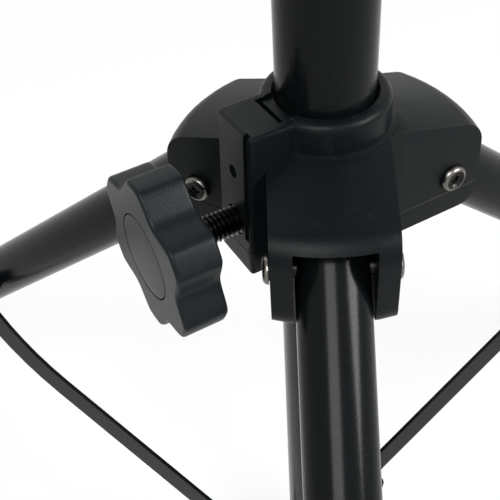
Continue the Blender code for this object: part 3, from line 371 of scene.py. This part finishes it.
def pick(piece, kind, wanted):
    """Select the faces or points that a rule wants, in edit mode."""
    work_on(piece)
    bpy.ops.object.mode_set(mode="EDIT")
    bpy.ops.mesh.select_mode(type=kind)
    bpy.ops.mesh.select_all(action="DESELECT")
    bpy.ops.object.mode_set(mode="OBJECT")
    for item in piece.data.polygons if kind == "FACE" else piece.data.vertices:
        item.select = wanted(item)
    bpy.ops.object.mode_set(mode="EDIT")


def apply_modifier(piece, kind, **settings):
    """Add one modifier to a piece and apply it."""
    work_on(piece)
    bpy.ops.object.modifier_add(type=kind)
    modifier = piece.modifiers[-1]
    for key, value in settings.items():
        setattr(modifier, key, value)
    bpy.ops.object.modifier_apply(modifier=modifier.name)


def round_edges(piece, width, segments=3, angle=EDGE_ANGLE):
    apply_modifier(piece, "BEVEL", width=width, segments=segments, limit_method="ANGLE",
                   angle_limit=angle, use_clamp_overlap=True, loop_slide=True)


def smooth(piece, angle=radians(30)):
    """Shade smooth, and keep the normals of large faces true up to their rounded edges."""
    work_on(piece)
    bpy.ops.object.shade_smooth_by_angle(angle=angle)
    apply_modifier(piece, "WEIGHTED_NORMAL", mode="FACE_AREA", keep_sharp=True)


def tidy_mesh(piece):
    """Merge doubled points and point the faces outwards."""
    work_on(piece)
    bpy.ops.object.mode_set(mode="EDIT")
    bpy.ops.mesh.select_all(action="SELECT")
    bpy.ops.mesh.remove_doubles(threshold=0.01 * MM)
    bpy.ops.mesh.normals_make_consistent(inside=False)
    bpy.ops.object.mode_set(mode="OBJECT")


def cad_copy(part):
    """A merged copy of a CAD node with its flat faces in one piece, ready to be shaped."""
    piece = bpy.data.objects.new(part + "_finished", NODES[part].data.copy())
    bpy.context.scene.collection.objects.link(piece)
    work_on(piece)
    bpy.ops.object.mode_set(mode="EDIT")
    bpy.ops.mesh.select_all(action="SELECT")
    bpy.ops.mesh.remove_doubles(threshold=0.005 * MM)
    bpy.ops.mesh.dissolve_limited(angle_limit=radians(0.6))
    bpy.ops.object.mode_set(mode="OBJECT")
    return piece


def place(piece, matrix):
    """Bake a place into a piece's mesh, so that its object stays at the origin."""
    piece.data.transform(matrix)
    piece.matrix_world = Matrix.Identity(4)
    piece.data.update()


def settle(piece, part):
    """Give a finished piece the finish, the body and the place of its CAD node."""
    piece.data.materials.clear()
    piece.data.materials.append(FINISHES[SLOT_OF[part]])
    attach(piece, BODY_OF[part])
    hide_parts(part)
    deselect()


def rounded(part, width, segments=3, angle=EDGE_ANGLE):
    """Replace a CAD node by a copy with rounded edges."""
    piece = cad_copy(part)
    round_edges(piece, width, segments, angle)
    smooth(piece)
    settle(piece, part)


def darken(piece, wanted):
    """Give the faces whose middles a rule wants a darker nickel, painted shade and dark reflection."""
    piece.data.materials.append(FINISHES["painted_shade_nickel"])
    for face in piece.data.polygons:
        if wanted(face.center):
            face.material_index = 1


def axis_frame(point, along, across):
    """A place whose Z runs along one direction and whose X runs across it."""
    z = Vector(along).normalized()
    x = (Vector(across) - z * Vector(across).dot(z)).normalized()
    turned = Matrix((x, z.cross(x), z)).transposed().to_4x4()
    return Matrix.Translation(Vector(point)) @ turned


def centre(part):
    low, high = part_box(part)
    return (low + high) / 2


def knob_axis(prefix):
    """Direction from a clamp out through its knob."""
    return Vector(JOINTS[prefix + "_knob_turn"]["axis"]).normalized()


def leg_pivot(side):
    """Middle of a leg's pivot and the direction to the leg's right."""
    front = side == "front"
    joint = JOINTS["hub_rise" if front else "leg_%s_fold" % side]
    across = Vector(joint["axis"]) * (-1.0 if front else 1.0)
    return Vector(joint["pos_m"]), across.normalized()


# Cutters

def drill(radius, start, stop, sides=48, at=(0.0, 0.0), turn=0.0):
    """A round or many-sided cutter along Z."""
    deselect()
    bpy.ops.mesh.primitive_cylinder_add(vertices=sides, radius=radius, depth=stop - start,
                                        location=(*at, (start + stop) / 2),
                                        rotation=(0, 0, turn))
    cutter = bpy.context.object
    bpy.ops.object.transform_apply(location=True, rotation=True, scale=True)
    return cutter


def box_cutter(low, high):
    """A rectangular cutter between two corners."""
    deselect()
    middle = [(a + b) / 2 for a, b in zip(low, high)]
    span = [b - a for a, b in zip(low, high)]
    bpy.ops.mesh.primitive_cube_add(size=1.0, location=middle, scale=span)
    cutter = bpy.context.object
    bpy.ops.object.transform_apply(location=True, rotation=True, scale=True)
    return cutter


def subtract(piece, cutter):
    apply_modifier(piece, "BOOLEAN", operation="DIFFERENCE", solver="EXACT", object=cutter)
    bpy.data.objects.remove(cutter)


def parting_line(piece, level, depth=LINE_DEPTH, half=LINE_HALF):
    """A fine groove round a moulding at one height."""
    work_on(piece)
    bpy.ops.object.mode_set(mode="EDIT")
    for height in (level - half, level, level + half):
        bpy.ops.mesh.select_all(action="SELECT")
        bpy.ops.mesh.bisect(plane_co=(0, 0, height), plane_no=(0, 0, 1))
    pick(piece, "VERT", lambda point: abs(point.co.z - level) < half / 4)
    bpy.ops.transform.shrink_fatten(value=-depth)
    bpy.ops.object.mode_set(mode="OBJECT")


# Star knobs and studs

def lobed(piece):
    """Pull the points of a round blank in between its lobes."""
    look = sizes()
    for vertex in piece.data.vertices:
        reach = Vector((vertex.co.x, vertex.co.y))
        if reach.length < 1e-6:
            continue
        swell = 0.5 + 0.5 * cos(look.knob_lobes * reach.angle_signed(Vector((1.0, 0.0))))
        swell = min(1.0, look.knob_crest * swell)
        scale = (look.knob_waist + (look.knob_radius - look.knob_waist) * swell) / look.knob_radius
        vertex.co.x *= scale
        vertex.co.y *= scale


def knob_blank(name):
    """Star knob from a round blank: lobes, soft rims and a recess for its cap."""
    look = sizes()
    deselect()
    bpy.ops.mesh.primitive_circle_add(vertices=KNOB_SIDES, radius=look.knob_radius,
                                      fill_type="NGON", location=(0, 0, 0))
    piece = bpy.context.object
    piece.name = name
    bpy.ops.object.mode_set(mode="EDIT")
    bpy.ops.mesh.select_all(action="SELECT")
    bpy.ops.mesh.extrude_region_move(TRANSFORM_OT_translate={"value": (0, 0, look.knob_height)})
    bpy.ops.object.mode_set(mode="OBJECT")
    lobed(piece)
    tidy_mesh(piece)
    round_edges(piece, look.knob_round, 4, RIM_ANGLE)
    subtract(piece, drill(look.cap_radius + CAP_GAP, look.knob_height - CAP_RECESS,
                          look.knob_height + MM, CAP_SIDES))
    round_edges(piece, KNOB_LIP, 2, RIM_ANGLE)
    smooth(piece, radians(40))
    return piece


def knob_cap(name):
    """Slightly crowned cap with a softly rounded rim."""
    look = sizes()
    piece = drill(look.cap_radius, look.knob_height - CAP_BACK, look.knob_height - CAP_FACE,
                  CAP_SIDES)
    piece.name = name
    pick(piece, "FACE", lambda face: face.normal.z > 0.9)
    for width in CAP_STEPS:
        bpy.ops.mesh.inset(thickness=width, depth=CAP_CROWN)
    bpy.ops.object.mode_set(mode="OBJECT")
    round_edges(piece, CAP_EDGE, 2, RIM_ANGLE)
    smooth(piece, radians(40))
    return piece


def knob_place(prefix):
    """Where a knob sits: its back on the stud, its face outwards."""
    scale = KNOB_SCALES[prefix]
    outward = knob_axis(prefix)
    back = centre(prefix + "_knob") - outward * sizes().knob_height * scale / 2
    if prefix == "tilt":
        across = Vector((0.0, -sin(DESK_SLOPE), -cos(DESK_SLOPE)))
    else:
        across = UP.cross(outward)
    turned = Matrix.Rotation(KNOB_PHASE, 4, "Z")
    return axis_frame(back, outward, across) @ turned @ Matrix.Scale(scale, 4)


def threaded_stud(prefix):
    """A stud with a helical thread round a core with rounded ends."""
    look = sizes()
    outward = knob_axis(prefix)
    length = BASE_STUD
    if prefix != "base":
        low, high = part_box(prefix + "_stud")
        length = (high - low).dot(Vector([abs(c) for c in outward]))
    pitch = look.thread_pitch
    turns = int((length - PLAIN_ENDS) / pitch)
    start = (length - turns * pitch) / 2
    crest = STUD_RADIUS
    root = crest - look.thread_depth
    # One turn's outline: radius, and height as a share of the pitch
    outline = [(root, 0.0), (root, 0.14), (crest, 0.46), (crest, 0.54), (root, 0.86), (root, 1.0)]
    points = [(radius, 0.0, start + share * pitch) for radius, share in outline]
    mesh = bpy.data.meshes.new(prefix + "_stud_thread")
    mesh.from_pydata(points, [(i, i + 1) for i in range(len(points) - 1)], [])
    piece = bpy.data.objects.new(prefix + "_stud_finished", mesh)
    bpy.context.scene.collection.objects.link(piece)
    apply_modifier(piece, "SCREW", angle=2 * pi, screw_offset=pitch, iterations=turns,
                   steps=THREAD_STEPS, render_steps=THREAD_STEPS, axis="Z",
                   use_merge_vertices=True, merge_threshold=0.001 * MM)
    core = drill(root + 0.02 * MM, 0.0, length, THREAD_STEPS)
    round_edges(core, STUD_TIP, 2, RIM_ANGLE)
    join(piece, core)
    smooth(piece, radians(35))
    tip = centre(prefix + "_stud") - outward * length / 2
    place(piece, axis_frame(tip, outward, UP.cross(outward)))
    return piece


# Bolts

def button_bolt(name, reach, shank):
    """Round head with a rolled rim, a dished middle and a hex socket, over a plain shank.

    Its underside is on z = 0, and it faces +Z."""
    look = sizes()
    head = drill(look.bolt_head, 0.0, look.bolt_dome, 64)
    head.name = name
    pick(head, "FACE", lambda face: face.normal.z > 0.9)
    bpy.ops.mesh.bevel(offset=HEAD_ROUND, segments=6, profile=0.5, affect="EDGES")
    pick(head, "FACE", lambda face: face.normal.z < -0.9)
    bpy.ops.mesh.inset(thickness=look.bolt_head - shank, depth=0.0)
    bpy.ops.mesh.extrude_region_move(TRANSFORM_OT_translate={"value": (0, 0, -reach)})
    deselect()
    middle = look.bolt_dome + (DISH_ABOVE - DISH_BELOW) / 2
    bpy.ops.mesh.primitive_cone_add(vertices=64, radius1=look.bolt_dish - DISH_SLANT,
                                    radius2=look.bolt_dish, depth=DISH_BELOW + DISH_ABOVE,
                                    location=(0, 0, middle))
    subtract(head, bpy.context.object)
    subtract(head, drill(look.bolt_socket / sqrt(3), look.bolt_dome - SOCKET_DEPTH,
                         look.bolt_dome + SOCKET_DEPTH, 6, turn=SOCKET_TURN))
    round_edges(head, HEAD_EDGE, 2, radians(40))
    smooth(head, radians(32))
    return head


def inside_rim(point, facing):
    """True on a head's dish, in its socket, and on the shank below it."""
    depth = point.dot(facing)
    return depth < -RIM_SLACK or (point - facing * depth).length < sizes().bolt_dish - RIM_SLACK


# Mouldings and sheet

def rubber_foot(side):
    """A boot on a leg's end: four ribs round its sleeve and a soft mouth."""
    part = "foot_" + side
    piece = cad_copy(part)
    pivot, across = leg_pivot(side)
    along = centre(part) - pivot
    along -= across * along.dot(across)
    turned = axis_frame(pivot, along, across)
    piece.data.transform(turned.inverted())
    length = max(vertex.co.z for vertex in piece.data.vertices)
    for rib in range(FOOT_RIBS):
        parting_line(piece, length - (RIB_START + RIB_STEP * rib), RIB_DEPTH, RIB_HALF)
    round_edges(piece, FOOT_EDGE, 2)
    smooth(piece, radians(50))
    place(piece, turned)
    settle(piece, part)


def sliding_hub():
    """The moulded hub: a relief groove and a pin hole in the clamp block, and its parting line."""
    piece = cad_copy("tripod_hub")
    low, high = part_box("tripod_hub")
    outward = knob_axis("base")
    origin = Vector((0.0, centre("main_tube").y, high.z))
    block = axis_frame(origin, outward, UP.cross(outward))
    groove = box_cutter(*GROOVE)
    place(groove, block)
    subtract(piece, groove)
    pin_hole = drill(PIN_RADIUS, PIN_BOTTOM, PIN_TOP, 32, PIN_SPOT)
    place(pin_hole, block)
    subtract(piece, pin_hole)
    parting_line(piece, low.z + HUB_LINE)
    round_edges(piece, sizes().moulded_edge, 3, radians(34))
    smooth(piece)
    settle(piece, "tripod_hub")


def round_holes(piece):
    """One cutter of round rods over the sheet's large holes, which are found by their walls."""
    radius = sizes().desk_hole
    facing = max(piece.data.polygons, key=lambda face: face.area).normal.copy()
    holes = []
    for face in piece.data.polygons:
        if abs(face.normal.dot(facing)) > 0.05:
            continue
        spot = face.center + face.normal * radius * cos(pi / HOLE_WALLS)
        near = [hole for hole in holes if (hole[0] - spot).length < SAME_HOLE]
        if near:
            near[0][1] += 1
        else:
            holes.append([spot, 1])
    spots = [spot for spot, walls in holes if walls >= HOLE_WALLS]
    if not spots:
        raise RuntimeError("The desk's holes were not found")
    rods = []
    for spot in spots:
        rods.append(drill(radius + HOLE_SLACK, -4.0 * MM, 4.0 * MM, 40))
        place(rods[-1], axis_frame(spot, facing, Vector((1, 0, 0))))
    return join(*rods)


def desk_panel():
    """The desk's sheet with truly round holes and rounded edges."""
    piece = cad_copy("desk_panel")
    subtract(piece, round_holes(piece))
    round_edges(piece, sizes().metal_edge, 2)
    smooth(piece)
    settle(piece, "desk_panel")


# Stage

def build_camera():
    """The photograph's view, fitted to the tube, the legs and the hub."""
    right = Vector((0.9987433, -0.0014289, -0.0500968))
    up = Vector((0.0375510, 0.6833372, 0.7291366))
    back = Vector((0.0331912, -0.7301015, 0.6825322))
    eye = (-0.0126156, -0.1226537, 0.3873396)
    turned = Matrix((right, up, back)).transposed()
    deselect()
    bpy.ops.object.camera_add(location=eye, rotation=turned.to_euler())
    camera = bpy.context.object
    camera.name = "Photograph camera"
    camera.data.sensor_width = 36.0
    camera.data.lens = 66.394
    camera.data.clip_start = 0.01
    camera.data.clip_end = 50.0
    bpy.context.scene.camera = camera


def seen_by(tree):
    """1 for rays from the camera, and for reflections and clear glass, else 0."""
    path = node(tree, "ShaderNodeLightPath")
    first = node(tree, "ShaderNodeMath", operation="MAXIMUM")
    both = node(tree, "ShaderNodeMath", operation="MAXIMUM")
    tree.links.new(path.outputs["Is Camera Ray"], first.inputs[0])
    tree.links.new(path.outputs["Is Transmission Ray"], first.inputs[1])
    tree.links.new(first.outputs["Value"], both.inputs[0])
    tree.links.new(path.outputs["Is Glossy Ray"], both.inputs[1])
    return both.outputs["Value"]


def mix_shaders(tree, share, first, second):
    """The first shader where a share is 0, and the second where it is 1."""
    mixed = node(tree, "ShaderNodeMixShader")
    tree.links.new(share, mixed.inputs["Fac"])
    tree.links.new(first, mixed.inputs[1])
    tree.links.new(second, mixed.inputs[2])
    return mixed.outputs["Shader"]


def build_floor():
    """Pale floor that shows white but keeps the stand's soft shadow."""
    deselect()
    bpy.ops.mesh.primitive_plane_add(size=14.0, location=(0, 0, 0))
    floor = bpy.context.object
    floor.name = "Studio floor"
    material = bpy.data.materials.new("White floor")
    material.use_nodes = True
    tree = material.node_tree
    tree.nodes.clear()
    link = tree.links.new
    paper = node(tree, "ShaderNodeBsdfDiffuse")
    paper.inputs["Color"].default_value = (*colours().paper, 1.0)
    glow = node(tree, "ShaderNodeEmission", strength=1.0)
    spot = node(tree, "ShaderNodeTexCoord")
    reach = node(tree, "ShaderNodeVectorMath", operation="LENGTH")
    fade = node(tree, "ShaderNodeMapRange", interpolation_type="SMOOTHSTEP",
                from_min=0.3, from_max=1.1, to_min=0.24, to_max=0.0)
    link(spot.outputs["Object"], reach.inputs[0])
    link(reach.outputs["Value"], fade.inputs["Value"])
    shown = mix_shaders(tree, fade.outputs["Result"], glow.outputs["Emission"],
                        paper.outputs["BSDF"])
    out = node(tree, "ShaderNodeOutputMaterial")
    link(mix_shaders(tree, seen_by(tree), paper.outputs["BSDF"], shown), out.inputs["Surface"])
    floor.data.materials.append(material)


def white_light(tree, strength):
    """A white background of one strength."""
    made = node(tree, "ShaderNodeBackground", strength=strength)
    made.inputs["Color"].default_value = (1.0, 1.0, 1.0, 1.0)
    return made.outputs["Background"]


def build_world():
    """A white background that lights the stand only dimly."""
    world = bpy.data.worlds.new("Studio air")
    bpy.context.scene.world = world
    world.use_nodes = True
    tree = world.node_tree
    tree.nodes.clear()
    out = node(tree, "ShaderNodeOutputWorld")
    mixed = mix_shaders(tree, seen_by(tree), white_light(tree, AIR_LIGHT), white_light(tree, 1.0))
    tree.links.new(mixed, out.inputs["Surface"])


def build_lamps():
    """Square softboxes at the left front and the right front, and a weak one behind."""
    for name, spot, size, watts in LAMPS:
        deselect()
        turned = (Vector(LAMP_AIM) - Vector(spot)).to_track_quat("-Z", "Y").to_euler()
        bpy.ops.object.light_add(type="AREA", location=spot, rotation=turned)
        made = bpy.context.object
        made.name = name
        made.data.shape = "SQUARE"
        made.data.size = size
        made.data.energy = watts
        made.visible_camera = False


# Operators

class MUSIC_STAND_OT_stage(bpy.types.Operator):
    """Set the camera, the floor, the lamps and the background"""
    bl_idname = "music_stand.stage"
    bl_label = "Stage"

    def execute(self, context):
        build_camera()
        build_floor()
        build_lamps()
        build_world()
        context.scene.view_settings.view_transform = "Standard"
        return {"FINISHED"}


class MUSIC_STAND_OT_finishes(bpy.types.Operator):
    """Give every CAD piece its finish"""
    bl_idname = "music_stand.finishes"
    bl_label = "Finishes"

    def execute(self, context):
        make_finishes()
        for part, item in NODES.items():
            item.data.materials.clear()
            item.data.materials.append(FINISHES[SLOT_OF[part]])
        return {"FINISHED"}


class MUSIC_STAND_OT_knobs(bpy.types.Operator):
    """Model the three star knobs and their caps"""
    bl_idname = "music_stand.knobs"
    bl_label = "Star knobs"

    def execute(self, context):
        for prefix in KNOB_SCALES:
            knob = knob_blank(prefix + "_knob_finished")
            cap = knob_cap(prefix + "_knob_cap_finished")
            for piece, part in ((knob, prefix + "_knob"), (cap, prefix + "_knob_cap")):
                place(piece, knob_place(prefix))
                settle(piece, part)
                # Knobs and caps get the lighter nylon, painted light
                piece.data.materials[0] = FINISHES["lit_worn_knob_nylon"]
        return {"FINISHED"}


class MUSIC_STAND_OT_studs(bpy.types.Operator):
    """Cut the threads of the clamping studs"""
    bl_idname = "music_stand.studs"
    bl_label = "Threaded studs"

    def execute(self, context):
        for prefix in CLAMPS:
            piece = threaded_stud(prefix)
            settle(piece, prefix + "_stud")
            # The whole stud gets painted shade, a darker nickel
            darken(piece, lambda point: True)
        return {"FINISHED"}


class MUSIC_STAND_OT_bolts(bpy.types.Operator):
    """Model the pivot bolts and the barrel nuts with their dished heads"""
    bl_idname = "music_stand.bolts"
    bl_label = "Pivot bolts"

    def execute(self, context):
        for side in SIDES:
            middle, across = leg_pivot(side)
            bolt = button_bolt("pivot_bolt_%s_finished" % side, BOLT_REACH, BOLT_SHANK)
            nut = button_bolt("pivot_barrel_%s_finished" % side, BARREL_REACH, BARREL_SHANK)
            subtract(nut, drill(*BARREL_BORE, 32))
            for piece, part, facing in ((bolt, "pivot_bolt_", across),
                                        (nut, "pivot_barrel_", -across)):
                seat = middle + facing * BOLT_SEAT
                place(piece, axis_frame(seat, facing, UP))
                settle(piece, part + side)
                # The dish, the socket and the shank get painted shade, a darker nickel
                darken(piece, lambda point: inside_rim(point - seat, facing))
        return {"FINISHED"}


class MUSIC_STAND_OT_mouldings(bpy.types.Operator):
    """Round the edges of the hub, the clamps and the other mouldings"""
    bl_idname = "music_stand.mouldings"
    bl_label = "Mouldings"

    def execute(self, context):
        sliding_hub()
        for part in ("height_clamp", "lower_hub", "tilt_base"):
            rounded(part, sizes().moulded_edge)
        for part in ("base_shoe", "height_shoe", "tube_plug"):
            rounded(part, FINE_EDGE, 2)
        for side in SIDES:
            rubber_foot(side)
            rounded("brace_spacer_" + side, SPACER_EDGE, 2)
        return {"FINISHED"}


class MUSIC_STAND_OT_tubes(bpy.types.Operator):
    """Smooth the tubes and soften their cut ends"""
    bl_idname = "music_stand.tubes"
    bl_label = "Tubes"

    def execute(self, context):
        for part in ("main_tube", "upper_tube", "leg_front", "leg_right", "leg_left"):
            rounded(part, FINE_EDGE, 2, radians(50))
        return {"FINISHED"}


class MUSIC_STAND_OT_sheet(bpy.types.Operator):
    """Round the cut edges of the braces, the bracket, the desk and the ledge"""
    bl_idname = "music_stand.sheet"
    bl_label = "Bars and sheet"

    def execute(self, context):
        edge = sizes().metal_edge
        for side in SIDES:
            rounded("brace_" + side, edge)
        for part in ("desk_bracket", "desk_ledge"):
            rounded(part, edge, 2)
        desk_panel()
        return {"FINISHED"}


class MUSIC_STAND_OT_fasteners(bpy.types.Operator):
    """Round the rivets, the tilt bolt, the washer, the inserts and the lock screw"""
    bl_idname = "music_stand.fasteners"
    bl_label = "Small fasteners"

    def execute(self, context):
        for side in SIDES:
            rounded("leg_rivet_" + side, RIVET_EDGE)
            rounded("hub_rivet_" + side, RIVET_EDGE)
        for part in sorted(NODES):
            if part.startswith(("bracket_rivet", "ledge_rivet")):
                rounded(part, SMALL_RIVET_EDGE)
        for part in ("tilt_bolt", "tilt_washer", "lock_screw", "slide_bush", "base_insert",
                     "height_insert"):
            rounded(part, FINE_EDGE, 2)
        return {"FINISHED"}


# Panel and registration

STEPS = ("finishes", "mouldings", "tubes", "sheet", "knobs", "studs", "bolts", "fasteners", "stage")


class MUSIC_STAND_PT_panel(bpy.types.Panel):
    """Music stand builder"""
    bl_idname = "MUSIC_STAND_PT_panel"
    bl_label = "Music Stand"
    bl_space_type = "VIEW_3D"
    bl_region_type = "UI"
    bl_category = "Music Stand"

    def draw(self, context):
        layout = self.layout
        for group in (context.scene.stand_sizes, context.scene.stand_finish):
            box = layout.box()
            for name in group.bl_rna.properties.keys():
                if name not in {"rna_type", "name"}:
                    box.prop(group, name)
        column = layout.column(align=True)
        for step in STEPS:
            column.operator("music_stand." + step)


CLASSES = (StandSizes, StandFinish, MUSIC_STAND_OT_stage, MUSIC_STAND_OT_finishes,
           MUSIC_STAND_OT_knobs, MUSIC_STAND_OT_studs, MUSIC_STAND_OT_bolts,
           MUSIC_STAND_OT_mouldings, MUSIC_STAND_OT_tubes, MUSIC_STAND_OT_sheet,
           MUSIC_STAND_OT_fasteners, MUSIC_STAND_PT_panel)


def register():
    for item in CLASSES:
        bpy.utils.register_class(item)
    bpy.types.Scene.stand_sizes = PointerProperty(type=StandSizes)
    bpy.types.Scene.stand_finish = PointerProperty(type=StandFinish)


def unregister():
    del bpy.types.Scene.stand_finish
    del bpy.types.Scene.stand_sizes
    for item in reversed(CLASSES):
        bpy.utils.unregister_class(item)


def main():
    register()
    for step in STEPS:
        getattr(bpy.ops.music_stand, step)()
    deselect()


if __name__ == "__main__":
    main()
